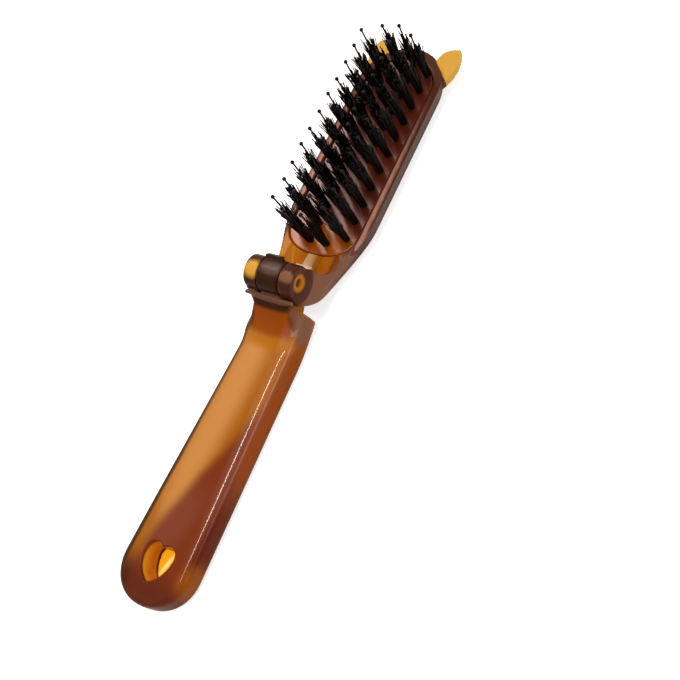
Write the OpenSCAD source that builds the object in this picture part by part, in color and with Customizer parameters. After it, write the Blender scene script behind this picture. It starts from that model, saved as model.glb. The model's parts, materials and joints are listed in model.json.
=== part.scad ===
// Folding pocket hairbrush with two small ears and a mirror in its back.
// A flat bristle head folds over a solid handle about one cross pin.
// Modelled open at 180 degrees: +X towards the ears, +Z the way the bristles point.

/* [Hinge] */
// Diameter of the steel hinge pin
pin_d = 2.2; // [1.6:0.1:2.8]
// Radial running clearance between the pin and the centre knuckle
pin_clearance = 0.05; // [0.02:0.01:0.1]
// Radius of the three hinge knuckles
knuckle_r = 4.6; // [4.2:0.1:4.8]
// Width over all three knuckles
hinge_w = 14.8; // [14:0.2:16.4]
// Width of the centre knuckle, which belongs to the handle
centre_w = 6.6; // [5.6:0.2:7.6]
// Side gap between neighbouring knuckles
knuckle_gap = 0.25; // [0.15:0.05:0.4]
// Distance from the hinge axis back to the end face of the handle
end_gap = 5.4; // [5.2:0.1:6]
// Height of the small lug on top of the centre knuckle
lug_h = 1.1; // [0.6:0.1:1.4]
// How far the rounded tongue below the centre knuckle stands out of the handle
tongue_reach = 9.8; // [7:0.2:10.6]

/* [Bristles] */
// Distance from one tuft to the next along a row
tuft_pitch = 5.8; // [5:0.1:6.6]
// Distance from the middle of an outer row to the side edge of the pad
row_margin = 3.2; // [3:0.1:4]
// Number of tufts in each outer row, the inner rows have one more
tufts_outer = 11; // [7:1:12]
// Distance from the hinge axis to the first tuft of an outer row
first_tuft = 20.9; // [20:0.1:24]
// Length of the bristle bundle above the pad
tuft_len = 14.4; // [11:0.2:16]
// Radius of a tuft where it leaves the pad
tuft_root_r = 0.8; // [0.6:0.05:0.9]
// Radius of a tuft at its widest point
tuft_top_r = 1.75; // [1.2:0.05:2.1]
// Length of a ball-tipped pin above the pad
pin_len = 18.9; // [15:0.1:19.5]
// Radius of a ball-tipped pin
filament_r = 0.3; // [0.25:0.01:0.45]
// Radius of the ball at the end of a pin
ball_r = 0.6; // [0.5:0.05:1]
// Lean of all bristles towards the hinge, in degrees
tuft_lean = 5.5; // [0:0.5:6]

/* [Head] */
// Drop from the hinge axis to the face of the bristle pad
pad_drop = 11.4; // [10.8:0.1:12.4]
// Thickness of the bristle pad
pad_t = 3.4; // [3:0.1:4]
// Width of the bristle pad
pad_w = 22; // [21:0.2:24]
// Width of the flat rim around the pad, along the sides
rim_w = 2.6; // [1.6:0.1:3]
// Extra width of the rim around the tip
tip_rim = 1.2; // [1:0.1:3]
// Height of the rim above the pad
rim_rise = 0.5; // [0.2:0.1:0.8]
// Thickness of the floor between the pad and the mirror
floor_t = 1.3; // [1:0.1:2]
// Clearance of the pad in its pocket
pad_clearance = 0.1; // [0.05:0.05:0.2]
// How far the side walls draw in from the rim to the back
wall_inset = 1.5; // [0.5:0.1:2.5]
// Radius of the edge around the back
back_edge_r = 1.8; // [1:0.1:2.4]
// Depth of the well between the pad and the hinge, below the pad face
well_depth = 1.9; // [1:0.1:2.6]

/* [Ears] */
// How far the ears stand out past the tip of the head
ear_reach = 3; // [1:0.25:5]
// Distance between the two ear tips
ear_span = 28; // [25:0.2:30]
// Thickness of an ear
ear_t = 2.6; // [2:0.1:3.4]
// Drop from the rim of the head to the face of an ear
ear_drop = 1.5; // [0.8:0.1:2]
// How far the curved sides of an ear bulge out
ear_bulge = 1.5; // [0.5:0.1:2.5]
// Radius of the tip of an ear
ear_tip_r = 0.9; // [0.6:0.1:1.5]

/* [Mirror] */
// Width of the mirror glass
mirror_w = 18.4; // [14:0.2:19]
// Length of the mirror glass
mirror_len = 60; // [48:1:62]
// Thickness of the mirror glass
mirror_t = 1.2; // [1:0.1:1.4]
// Thickness of the adhesive tape behind the mirror
tape_t = 0.3; // [0.2:0.05:0.4]
// Depth that the glass lies below the back of the head
mirror_inset = 0.2; // [0.1:0.1:0.5]
// Clearance around the mirror in its recess
mirror_clearance = 0.15; // [0.1:0.05:0.3]

/* [Handle] */
// Distance from the hinge axis to the end of the heel
handle_reach = 88.8; // [84:0.1:96]
// Drop from the hinge axis to the inner face of the handle
handle_drop = 10.1; // [9.8:0.1:10.8]
// Thickness of the handle
handle_t = 9.3; // [8:0.1:11]
// Width of the handle next to its hinge end
handle_w_hinge = 17; // [16.4:0.2:19]
// Width of the handle at the heel
handle_w_heel = 21; // [17:0.2:22]
// How much the handle narrows along the ramp, down to its hinge end
end_narrowing = 0.8; // [0:0.2:2]
// Width of the lip beside the hinge knuckles
lip_w = 15.2; // [13.6:0.2:16]
// Width that the neck would draw in to above the shoulders, before it flares to the lip
neck_w = 10.8; // [9.6:0.2:14]
// How much narrower the inner face is than the outer one, at the hinge end
inner_narrowing = 1.6; // [0:0.2:2.4]
// Length of the ramp from the inner face up to the hinge lip
ramp_len = 12.5; // [10:0.5:15]
// Thickness of the back cover of the handle
cover_t = 2.8; // [2.2:0.1:3.4]
// Thickness of the wall around the handle's pocket
handle_wall = 2.2; // [1.8:0.1:3]
// Height of the cover's locating step in the pocket
step_h = 1.2; // [0.8:0.1:2]
// Clearance of the locating step in the pocket
step_clearance = 0.12; // [0.05:0.01:0.2]

/* [Hanging hole] */
// Distance from the end of the heel to the point of the heart
heart_inset = 5.8; // [4.5:0.1:8]
// Length of the heart
heart_len = 10; // [8:0.5:12]
// Width of the heart
heart_w = 9.1; // [7:0.1:10]

/* [Hidden] */
$fn = 48;

amber = [0.80, 0.50, 0.14];
tortoise = [0.50, 0.25, 0.12];
black = [0.06, 0.05, 0.05];
steel = [0.72, 0.72, 0.74];
silver = [0.85, 0.88, 0.90];

// Head, in a frame with the hinge axis at the origin
rim_z = rim_rise - pad_drop;
pad_floor_z = -pad_drop - pad_t;
mirror_depth = tape_t + mirror_t + mirror_inset;
back_z = pad_floor_z - floor_t - mirror_depth;
over = 20;
row_pitch = (pad_w - 2 * row_margin) / 3;
hole_play = 0.05;
hole_r = tuft_root_r + hole_play;
pad_start_margin = 3.7;
tip_wall = 0.3;
last_tuft = first_tuft + (tufts_outer - 1) * tuft_pitch;
pad_x0 = first_tuft - tuft_pitch / 2 - pad_start_margin;
pad_x1 = last_tuft + pad_w / 2 - sqrt(pow(pad_w / 2 - hole_r - tip_wall, 2) - pow(1.5 * row_pitch, 2));
head_half_w = pad_w / 2 + rim_w;
tip_x = pad_x1 + rim_w + tip_rim;
tip_centre_x = tip_x - head_half_w;
nose_gap = 0.7;
nose_x = nose_gap - end_gap;
nose_top_z = -0.8;
nose_low_z = -5;
nose_side = 1.4;
nose_half_w = hinge_w / 2 + nose_side;
cheek_end_margin = 0.2;
cheek_end_x = pad_x0 + cheek_end_margin;
cheek_start_gap = 0.6;
cheek_start_x = knuckle_r + cheek_start_gap;
cheek_t = 1.3;
cheek_side_gap = 0.2;
cheek_fade_len = 8;
flare_lead = 1;
flare_len = 15;
flare_end_x = cheek_end_x + flare_len;
belly_len = 6.5;
belly_end_x = cheek_end_x + belly_len;
well_start_x = 2.5;
well_end_x = 17.5;
well_edge_r = 3;
well_rise_x = 9;
well_rise_len = 9;
well_side_t = 1.9;
well_floor_t = 1.8;
centre_half = centre_w / 2;
pin_r = pin_d / 2;
pin_end_wall = 1.2;
pad_end_len = 8.5;
pad_end_n = 2.4;
ear_outer_len = 10.5;
ear_outer_inset = 1.2;
ear_inner_len = 2.2;
ear_inner_inset = 6;
ear_root_len = 9;
ear_root_y = 4;
mirror_shift = 1;
tape_inset = 0.8;
pin_inset = 0.9;
pin_end_gap = 0.1;
pin_fit = 0.01;
stop_gap = 3.8;
stop_x = knuckle_r + stop_gap;
stop_y = -0.2;
stop_top_z = -9.9;
stop_bar_t = 1.1;
stop_bar_h = 2.2;
stop_bar_w = 5;
stop_rib_y = -0.8;
stop_rib_w = 3;
stop_rib_gap = 0.7;
stop_rib_end_x = pad_x0 - stop_rib_gap;
stop_rib_lap = 0.3;
stop_foot_x = stop_x + stop_bar_t - stop_rib_lap;
stop_foot_rise = 0.6;
stop_foot_z = pad_floor_z + stop_foot_rise;
stop_rib_drop = 0.1;
stop_rib_rise = 0.4;
stop_play = 0.05;

// Handle, with u as the distance from the hinge axis towards the heel
lip_z = -1.1;
outer_z = -handle_drop - handle_t;
part_z = outer_z + cover_t;
lip_r = 0.6;
heel_r = handle_w_heel / 2;
heel_centre_u = handle_reach - heel_r;
end_slant = 2;
end_lift = 1.6;
shoulder_full_w = handle_w_hinge - end_narrowing;
shoulder_rise = 0.1;
shoulder_z = shoulder_rise - handle_drop;
lip_set = 0.1;
tongue_drop = 4.8;
tongue_top_z = -2.2;
tongue_foot = 2.8;
tongue_root = 2;
tongue_r = (pow(tongue_reach - tongue_foot, 2) + pow(part_z + tongue_drop, 2)) / 2 / (tongue_reach - tongue_foot);
turn_gap = 0.3;
turn_inset_x = 3.2;
turn_inset_z = 3.1;
notch_r = turn_gap + norm([tongue_reach - end_gap - turn_inset_x, part_z + turn_inset_z]);
lug_w = 2;
lug_root = 1;
lug_side = 1.6;
pocket_lap = 1;
step_lap = 0.5;

// Place of the hinge axis in the row frame
hinge_x = (handle_reach - tip_x - ear_reach) / 2;
hinge_z = -outer_z;

// Small helpers
function clamp01(v) = min(1, max(0, v));
function smooth(v) = let (c = clamp01(v)) c * c * (3 - 2 * c);
function mix(a, b, v) = a + (b - a) * v;

// A closed solid through a list of rings with the same number of points each
module loft(rings) {
    n = len(rings[0]);
    m = len(rings);
    points = [for (ring = rings) each ring];
    sides = [for (i = [0:m - 2], j = [0:n - 1]) let (a = i * n + j, b = i * n + (j + 1) % n)
        each [[a, b, b + n], [a, b + n, a + n]]];
    caps = [[for (j = [n - 1:-1:0]) j], [for (j = [0:n - 1]) (m - 1) * n + j]];
    polyhedron(points = points, faces = concat(sides, caps), convexity = 6);
}

// Flat outline with two round ends, from x0 to x1 and w wide
module stadium(x0, x1, w) {
    translate([x0 + w / 2, 0]) circle(d = w);
    translate([x1 - w / 2, 0]) circle(d = w);
    translate([x0 + w / 2, -w / 2]) square([x1 - x0 - w, w]);
}

// Cylinder along Y between two stations
module cross_bar(y0, y1, r) {
    translate([0, y1, 0]) rotate([90, 0, 0]) cylinder(h = y1 - y0, r = r);
}

// ---- Handle ----

function handle_half_w(u) = mix(handle_w_hinge, handle_w_heel, (u - end_gap) / (heel_centre_u - end_gap)) / 2
    - end_narrowing / 2 * (1 - smooth((u - end_gap) / ramp_len));
function ramp_z(u) = let (s = clamp01((u - end_gap) / ramp_len))
    -handle_drop + (handle_drop + lip_z) * pow(1 - s, 2);
function heel_q(u) = clamp01((u - heel_centre_u) / heel_r);

// Share of the full width at height z: a narrow neck above the shoulders, which flares to the lip
function neck_share(z) = let (climb = clamp01((z - shoulder_z) / (lip_z - shoulder_z)))
    1 - (1 - neck_w / shoulder_full_w) * sqrt(climb)
    + (lip_w - neck_w) / shoulder_full_w * smooth((climb - 0.6) / 0.4);

// One ring of the handle: a soft rectangle, narrower at the inner face
function handle_ring(u) =
    let (q = heel_q(u),
        w = handle_half_w(min(u, heel_centre_u)) * sqrt(1 - q * q),
        squash = pow(1 - pow(q, 5), 1 / 5),
        low_z = outer_z + end_lift * pow(1 - clamp01((u - end_gap) / ramp_len), 2),
        mid = (ramp_z(u) + low_z) / 2,
        h = (ramp_z(u) - low_z) / 2 * squash,
        n = mix(6, 5, smooth((u - end_gap) / ramp_len)),
        narrow = inner_narrowing / handle_w_hinge * smooth((u - end_gap) / ramp_len)
            * (1 - smooth((u - end_gap) / (heel_centre_u - end_gap))),
        slant = end_slant * (1 - smooth((u - end_gap) / ramp_len)))
    [for (k = [0:39]) let (a = k * 9,
        c = cos(a), s = sin(a),
        y = w * sign(c) * pow(abs(c), 2 / n),
        z = mid + h * max(-1, (s < 0 ? 1.04 : 1) * sign(s) * pow(abs(s), 2 / n)),
        low = (ramp_z(u) - z) / (handle_t + handle_drop))
        [slant * low * 1.3 - u, y * neck_share(z) * (1 - narrow * (1 + (z - mid) / h) / 2), z]];

handle_stations = [
    for (k = [0:8]) end_gap + ramp_len * k / 8,
    for (k = [1:5]) mix(end_gap + ramp_len, heel_centre_u, k / 5),
    for (a = [12:12:84]) heel_centre_u + heel_r * sin(a),
    heel_centre_u + heel_r * sin(87.5)];

module handle_form() loft([for (u = handle_stations) handle_ring(u)]);

// Heart outline, its point towards the heel: two bowed sides that run into two round lobes
module heart() {
    half = heart_w / 2;
    lobe_r = heart_w * 0.28;
    point_x = heart_inset - handle_reach;
    lobe_x = point_x + heart_len - lobe_r;
    side_r = (pow(lobe_x - point_x, 2) + half * half) / (2 * half);
    open = asin((lobe_x - point_x) / side_r);
    side = [for (k = [0:8]) let (a = open * (k / 8 - 1))
        [lobe_x + side_r * sin(a), half - side_r + side_r * cos(a)]];
    for (s = [-1, 1]) translate([lobe_x, s * (half - lobe_r)]) circle(r = lobe_r);
    polygon(concat(side, [[lobe_x, half - lobe_r], [lobe_x + lobe_r * 0.25, 0], [lobe_x, lobe_r - half]],
        [for (k = [8:-1:1]) [side[k][0], -side[k][1]]]));
}

// Outline of the pocket inside the handle, drawn inwards by inset
module pocket_outline(inset) {
    u0 = end_gap + ramp_len - pocket_lap + inset;
    u1 = handle_reach - heart_inset - heart_len - handle_wall - inset;
    w = handle_w_hinge - 2 * handle_wall - 2 * inset;
    stadium(-u1, -u0, w);
}

module heart_hole() {
    translate([0, 0, outer_z - 1]) linear_extrude(handle_t + 2) heart();
}

// Rounded tongue that carries the centre knuckle and fills the gap between the cheeks
module tongue() intersection() {
    translate([tongue_reach - end_gap - tongue_r, 0, -tongue_drop])
        cross_bar(-centre_half, centre_half, tongue_r);
    translate([-end_gap - tongue_root, -centre_w, part_z]) cube([over, 2 * centre_w, tongue_top_z - part_z]);
}

module handle_shell() color(tortoise) translate([hinge_x, 0, hinge_z]) difference() {
    union() {
        difference() {
            handle_form();
            translate([-handle_reach - over, -over, part_z - over]) cube([handle_reach + 2 * over, 2 * over, over]);
        }
        // Lip across the end of the ramp
        translate([-end_gap - lip_set, 0, lip_z - lip_r]) cross_bar(-lip_w / 2, lip_w / 2, lip_r);
        // Centre knuckle and the small lug on it
        cross_bar(-centre_half, centre_half, knuckle_r);
        rotate([0, -38, 0]) translate([knuckle_r - lug_root, lug_side - centre_half, -lug_w / 2])
            cube([lug_root + lug_h, centre_w - lug_side, lug_w]);
        tongue();
    }
    cross_bar(-centre_w, centre_w, pin_r + pin_clearance);
    heart_hole();
    translate([0, 0, part_z - 1]) linear_extrude(1 + handle_t - cover_t - handle_wall) pocket_outline(0);
}

module handle_cover() color(amber) translate([hinge_x, 0, hinge_z]) difference() {
    union() {
        difference() {
            handle_form();
            translate([-handle_reach - over, -over, part_z]) cube([handle_reach + 2 * over, 2 * over, 2 * over]);
        }
        translate([0, 0, part_z - step_lap]) linear_extrude(step_lap + step_h) pocket_outline(step_clearance);
    }
    heart_hole();
}

// ---- Head ----

function nose_s(x) = clamp01((x - nose_x) / (belly_end_x - nose_x));
function belly_z(x) = back_z + (nose_low_z - back_z) * pow(1 - nose_s(x), 3.6);
function top_z(x) = let (s = clamp01((x - cheek_start_x) / (cheek_end_x - cheek_start_x)))
    rim_z + (nose_top_z - rim_z) * pow(1 - s, 4.4);
function head_half(x) =
    mix(nose_half_w, head_half_w, smooth((x - cheek_start_x + flare_lead) / (flare_end_x - cheek_start_x)))
    * sqrt(1 - pow(clamp01((x - tip_centre_x) / head_half_w), 2));
function flank_half(x, z) = let (w = head_half(x))
    w - max(0, w - hinge_w / 2 - cheek_side_gap) * pow(clamp01((z - rim_z) / (nose_top_z - rim_z)), 1.5)
        * (1 - smooth((x - cheek_end_x) / cheek_fade_len));

// One ring of the head: flat top, leaning walls and a round edge to the back
function head_ring(x) =
    let (t = top_z(x), b = belly_z(x), w = head_half(x),
        r = min(back_edge_r, (t - b) * 0.45, w * 0.5),
        inset = wall_inset * w / head_half_w,
        wall = [for (k = [0:4]) let (z = mix(t, b + r, k / 4))
            [flank_half(x, z) - inset * clamp01((rim_z - z) / (rim_z - back_z)), z]],
        corner = [for (a = [15:15:90]) [wall[4][0] - r + r * cos(a), b + r - r * sin(a)]],
        half = concat(wall, corner))
    concat([for (p = half) [x, p[0], p[1]]], [for (k = [len(half) - 1:-1:0]) [x, -half[k][0], half[k][1]]]);

head_stations = [
    for (k = [0:9]) nose_x + (belly_end_x - nose_x) * pow(k / 9, 1.3),
    for (k = [1:3]) mix(belly_end_x, flare_end_x, k / 3),
    for (a = [0:10:80]) tip_centre_x + head_half_w * sin(a),
    tip_centre_x + head_half_w * sin(86)];

// Points along an arc from p to q that bulges to the right by sag
function arc_points(p, q, sag) =
    let (d = q - p, half = norm(d) / 2, r = (half * half + sag * sag) / (2 * sag), n = [d[1], -d[0]] / norm(d),
        centre = (p + q) / 2 - n * (r - sag), open = asin(half / r))
    [for (k = [0:8]) let (a = open * (k - 4) / 4) centre + r * (n * cos(a) + d / norm(d) * sin(a))];

// One leaf-shaped ear, s is the side it stands on
module ear(s) mirror([0, s < 0 ? 1 : 0, 0]) {
    tip = [tip_x + ear_reach - ear_tip_r, ear_span / 2 - ear_tip_r];
    outer_base = [tip_x - ear_outer_len, head_half_w - ear_outer_inset];
    inner_base = [tip_x - ear_inner_len, head_half_w - ear_inner_inset];
    out = [tip[1] - outer_base[1], outer_base[0] - tip[0]] / norm(tip - outer_base) * -ear_tip_r;
    inn = [inner_base[1] - tip[1], tip[0] - inner_base[0]] / norm(tip - inner_base) * -ear_tip_r;
    translate([0, 0, rim_z - ear_drop - ear_t]) linear_extrude(ear_t) {
        polygon(concat(arc_points(inner_base, tip + inn, ear_bulge), arc_points(tip + out, outer_base, ear_bulge),
            [[tip_x - ear_root_len, ear_root_y]]));
        translate(tip) circle(ear_tip_r);
    }
}

// Pad outline: round at the tip, flatter at the hinge end, drawn outwards by grow
module pad_outline(grow) {
    half = pad_w / 2 + grow;
    x0 = pad_x0 - grow;
    x1 = pad_x1 + grow - half;
    tip = [for (a = [-90:6:90]) [x1 + half * cos(a), half * sin(a)]];
    end = [for (a = [90:-6:-90]) [x0 + pad_end_len * (1 - pow(cos(a), 2 / pad_end_n)),
        half * sign(a) * pow(abs(sin(a)), 2 / pad_end_n)]];
    polygon(concat(tip, end));
}

function well_z(x) = max(belly_z(x) + well_floor_t,
    mix(-pad_drop - well_depth, rim_z, smooth((x - well_rise_x) / well_rise_len)));

// One ring of the well between the cheeks, with a round bottom
function well_ring(x) =
    let (w = head_half(x) - well_side_t, f = well_z(x), r = well_edge_r,
        half = concat([[w, over]], [for (a = [0:15:90]) [w - r + r * cos(a), f + r - r * sin(a)]]))
    concat([for (p = half) [x, p[0], p[1]]], [for (k = [len(half) - 1:-1:0]) [x, -half[k][0], half[k][1]]]);

module head_shell() color(tortoise) translate([hinge_x, 0, hinge_z]) difference() {
    union() {
        difference() {
            union() {
                loft([for (x = head_stations) head_ring(x)]);
                for (s = [-1, 1]) ear(s);
            }
            // Pocket for the bristle pad
            translate([0, 0, pad_floor_z]) linear_extrude(pad_t + over) pad_outline(pad_clearance);
            // Well between the pad and the hinge
            loft([for (k = [0:10]) well_ring(mix(well_start_x, well_end_x, k / 10))]);
        }
        for (s = [-1, 1]) translate([0, s * (hinge_w + centre_w + 2 * knuckle_gap) / 4, 0])
            cross_bar(-(hinge_w - centre_w) / 4 + knuckle_gap / 2, (hinge_w - centre_w) / 4 - knuckle_gap / 2,
                knuckle_r);
    }
    // Room for the centre knuckle, its lug and the tongue to turn in
    cross_bar(-centre_half - knuckle_gap, centre_half + knuckle_gap, notch_r);
    // Pin bore, blind in the far knuckle
    cross_bar(-hinge_w, hinge_w / 2 - pin_end_wall, pin_r + pin_fit);
    // Socket for the foot of the stop
    translate([stop_foot_x - stop_play, stop_rib_y - stop_rib_w / 2 - stop_play, stop_foot_z])
        cube([stop_rib_end_x - stop_foot_x + 2 * stop_play, stop_rib_w + 2 * stop_play, over]);
    // Recess for the mirror
    translate([0, 0, back_z - 1]) linear_extrude(1 + mirror_depth) mirror_outline(mirror_clearance);
}

// Outline of the mirror, grown by grow
module mirror_outline(grow) {
    mid = (pad_x0 + pad_x1) / 2 + mirror_shift;
    stadium(mid - mirror_len / 2 - grow, mid + mirror_len / 2 + grow, mirror_w + 2 * grow);
}

module mirror_tape() color(black) translate([hinge_x, 0, hinge_z])
    translate([0, 0, back_z + mirror_inset + mirror_t]) linear_extrude(tape_t) mirror_outline(-tape_inset);

module mirror_glass() color(silver) translate([hinge_x, 0, hinge_z])
    translate([0, 0, back_z + mirror_inset]) linear_extrude(mirror_t) mirror_outline(0);

module hinge_pin() color(steel) translate([hinge_x, 0, hinge_z])
    cross_bar(pin_inset - hinge_w / 2, hinge_w / 2 - pin_end_wall - pin_end_gap, pin_r);

// T-shaped stop behind the centre knuckle, the foot of its rib stands in a socket of the well
module hinge_stop() color(amber) translate([hinge_x, 0, hinge_z]) {
    translate([stop_x, stop_y - stop_bar_w / 2, stop_top_z - stop_bar_h])
        cube([stop_bar_t, stop_bar_w, stop_bar_h]);
    translate([0, stop_rib_y + stop_rib_w / 2, 0]) rotate([90, 0, 0]) linear_extrude(stop_rib_w) polygon([
        [stop_foot_x, stop_top_z - stop_rib_drop], [stop_rib_end_x, rim_z + stop_rib_rise],
        [stop_rib_end_x, stop_foot_z],
        [stop_foot_x, stop_foot_z]]);
}

// ---- Bristles ----

function row_y(row) = (row - 2.5) * row_pitch;
function is_outer(row) = row == 1 || row == 4;
function row_count(row) = is_outer(row) ? tufts_outer : tufts_outer + 1;
function row_start(row) = is_outer(row) ? first_tuft : first_tuft - tuft_pitch / 2;

hole_floor = 0.4;
hole_depth = pad_t - hole_floor;
pin_gap = 0.06;
anchor_h = 0.6;
anchor_t = 0.34;
anchor_len = 1.3;
anchor_gap = 0.06;

// Puts a child at every tuft of a row, leaning like the tufts
module along_row(row) {
    for (k = [0:row_count(row) - 1])
        translate([row_start(row) + k * tuft_pitch, row_y(row), -pad_drop]) rotate([0, -tuft_lean, 0]) children();
}

module bristle_pad() color(amber) translate([hinge_x, 0, hinge_z]) difference() {
    union() {
        translate([0, 0, pad_floor_z]) linear_extrude(pad_t) pad_outline(0);
    }
    for (row = [1:4]) along_row(row) translate([0, 0, -hole_depth]) cylinder(r = hole_r, h = hole_depth + 2, $fn = 24);
}

module tuft() rotate_extrude($fn = 24) polygon([
    [filament_r + pin_gap, anchor_h + anchor_gap - hole_depth], [tuft_root_r, anchor_h + anchor_gap - hole_depth],
    [tuft_root_r * 1.05, tuft_len * 0.25], [tuft_top_r, tuft_len * 0.86],
    [tuft_top_r * 0.8, tuft_len], [filament_r + pin_gap, tuft_len]]);

module ball_pin() {
    translate([0, 0, anchor_h + anchor_gap - hole_depth])
        cylinder(r = filament_r, h = pin_len - ball_r - anchor_h - anchor_gap + hole_depth, $fn = 16);
    translate([0, 0, pin_len - ball_r]) sphere(ball_r, $fn = 24);
}

module anchor() translate([-anchor_len / 2, -anchor_t / 2, -hole_depth]) cube([anchor_len, anchor_t, anchor_h]);

module tuft_row(row) color(black) translate([hinge_x, 0, hinge_z]) along_row(row) tuft();
module pin_row(row) color(black) translate([hinge_x, 0, hinge_z]) along_row(row) ball_pin();
module anchor_row(row) color(steel) translate([hinge_x, 0, hinge_z]) along_row(row) anchor();

handle_shell();
handle_cover();
head_shell();
bristle_pad();
tuft_row(1);  // tuft_row_1
tuft_row(2);  // tuft_row_2
tuft_row(3);  // tuft_row_3
tuft_row(4);  // tuft_row_4
pin_row(1);  // pin_row_1
pin_row(2);  // pin_row_2
pin_row(3);  // pin_row_3
pin_row(4);  // pin_row_4
anchor_row(1);  // anchor_row_1
anchor_row(2);  // anchor_row_2
anchor_row(3);  // anchor_row_3
anchor_row(4);  // anchor_row_4
mirror_glass();
mirror_tape();
hinge_pin();
hinge_stop();
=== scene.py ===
# %% [markdown]
# # A folding hairbrush in tortoise plastic
# This lesson dresses a small folding brush. Its plain solids, hinge and sizes come from a packed
# frame, and each step below makes one visible piece or finish around them.
# The brush lies open: +X runs towards the two ears, +Z is the way the bristles point.

# %% Load the frame
import json
import math

import bmesh
import bpy
from mathutils import Matrix, Vector


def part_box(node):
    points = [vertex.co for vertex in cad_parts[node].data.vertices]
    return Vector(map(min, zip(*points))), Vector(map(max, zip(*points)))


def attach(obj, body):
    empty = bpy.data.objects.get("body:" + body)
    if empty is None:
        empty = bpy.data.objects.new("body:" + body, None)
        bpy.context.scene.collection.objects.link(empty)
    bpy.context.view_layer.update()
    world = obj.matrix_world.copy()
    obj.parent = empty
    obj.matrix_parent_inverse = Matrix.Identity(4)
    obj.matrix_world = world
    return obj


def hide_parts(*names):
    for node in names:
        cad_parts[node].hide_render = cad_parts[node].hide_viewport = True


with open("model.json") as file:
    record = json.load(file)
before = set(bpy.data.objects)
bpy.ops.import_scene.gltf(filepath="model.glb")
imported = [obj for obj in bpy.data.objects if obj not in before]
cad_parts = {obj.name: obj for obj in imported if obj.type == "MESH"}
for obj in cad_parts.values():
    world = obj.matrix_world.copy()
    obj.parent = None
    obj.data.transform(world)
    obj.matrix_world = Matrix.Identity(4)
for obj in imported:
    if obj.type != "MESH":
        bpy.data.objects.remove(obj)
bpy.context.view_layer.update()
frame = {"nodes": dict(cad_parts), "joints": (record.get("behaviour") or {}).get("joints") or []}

MM = 0.001
hinge = Vector(frame["joints"][0]["pos_m"])


def box_mm(node):
    """Low and high corner of a frame node, in millimetres from the hinge axis."""
    low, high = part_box(node)
    return (low - hinge) / MM, (high - hinge) / MM


handle_low, handle_high = box_mm("handle_shell")
head_low, head_high = box_mm("head_shell")
pad_low, pad_high = box_mm("bristle_pad")
print("handle from", handle_low, "to", handle_high)
print("head from", head_low, "to", head_high)

# %% [markdown]
# ## The camera
# The camera looks down on the open brush from its right side. Its place and its two picture axes are
# given from the hinge axis, so the view stays put if the frame is packed again. A lens of 45 mm is a
# little longer than a phone's.

# %% Camera
camera_place = Vector((-70.15, -119.93, 180.71))
camera_right = Vector((0.4141, -0.8549, -0.3125)).normalized()
camera_up = Vector((0.8672, 0.2662, 0.4209)).normalized()
camera_lens = 45.55


def make_camera():
    data = bpy.data.cameras.new("camera")
    data.lens = camera_lens
    data.sensor_width = 36
    data.clip_start = 0.01
    camera = bpy.data.objects.new("camera", data)
    bpy.context.scene.collection.objects.link(camera)
    back = camera_right.cross(camera_up).normalized()
    up = back.cross(camera_right)
    turn = Matrix((camera_right, up, back)).transposed()
    camera.matrix_world = Matrix.Translation(hinge + camera_place * MM) @ turn.to_4x4()
    bpy.context.scene.camera = camera


make_camera()

# %% [markdown]
# ## Small mesh helpers
# Most moulded shapes here are lofts: rings of points along a line, joined to their neighbours. They are
# written in millimetres from the hinge axis, which is how such a part is drawn, and moved into the
# frame as the mesh is made.

# %% Helpers
def clamp01(v):
    return min(1.0, max(0.0, v))


def smooth(v):
    c = clamp01(v)
    return c * c * (3 - 2 * c)


def mix(a, b, v):
    return a + (b - a) * v


def in_frame(p):
    return hinge + Vector(p) * MM


def new_object(name, bm):
    mesh = bpy.data.meshes.new(name)
    bmesh.ops.recalc_face_normals(bm, faces=bm.faces)
    bm.to_mesh(mesh)
    bm.free()
    piece = bpy.data.objects.new(name, mesh)
    bpy.context.scene.collection.objects.link(piece)
    return piece


def loft(name, rings):
    """A closed solid through rings with the same number of points each."""
    bm = bmesh.new()
    rows = [[bm.verts.new(in_frame(p)) for p in ring] for ring in rings]
    count = len(rows[0])
    for near, far in zip(rows, rows[1:]):
        for j in range(count):
            k = (j + 1) % count
            bm.faces.new((near[j], near[k], far[k], far[j]))
    bm.faces.new(rows[0])
    bm.faces.new(rows[-1])
    return new_object(name, bm)


def prism(name, outline, z0, z1):
    """A straight solid over a flat outline, from z0 to z1."""
    return loft(name, [[(x, y, z) for x, y in outline] for z in (z0, z1)])


def block(name, low, high):
    outline = [(low[0], low[1]), (high[0], low[1]), (high[0], high[1]), (low[0], high[1])]
    return prism(name, outline, low[2], high[2])


def cross_bar(name, y0, y1, r, x=0.0, z=0.0, edge=0.0, steps=96):
    """A round bar along Y, its two rims rounded by edge."""
    ends = [(0.0, r)] if not edge else [
        (edge * (1 - math.cos(a)), r - edge * (1 - math.sin(a))) for a in [math.pi / 8 * k for k in range(5)]]
    stations = [(y0 + d, s) for d, s in ends] + [(y1 - d, s) for d, s in reversed(ends)]
    turns = [2 * math.pi * k / steps for k in range(steps)]
    return loft(name, [[(x + s * math.cos(a), y, z + s * math.sin(a)) for a in turns] for y, s in stations])


def evaluated_mesh(piece):
    """Bakes a piece's modifiers into its mesh."""
    ready = piece.evaluated_get(bpy.context.evaluated_depsgraph_get())
    mesh = bpy.data.meshes.new_from_object(ready)
    piece.modifiers.clear()
    piece.data = mesh
    return piece


def combine(piece, others, operation):
    """Joins or cuts a piece with others, which are used up."""
    for other in others:
        step = piece.modifiers.new(operation, "BOOLEAN")
        step.operation = operation
        step.solver = "EXACT"
        step.object = other
        evaluated_mesh(piece)
        bpy.data.objects.remove(other)
    return piece


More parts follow.
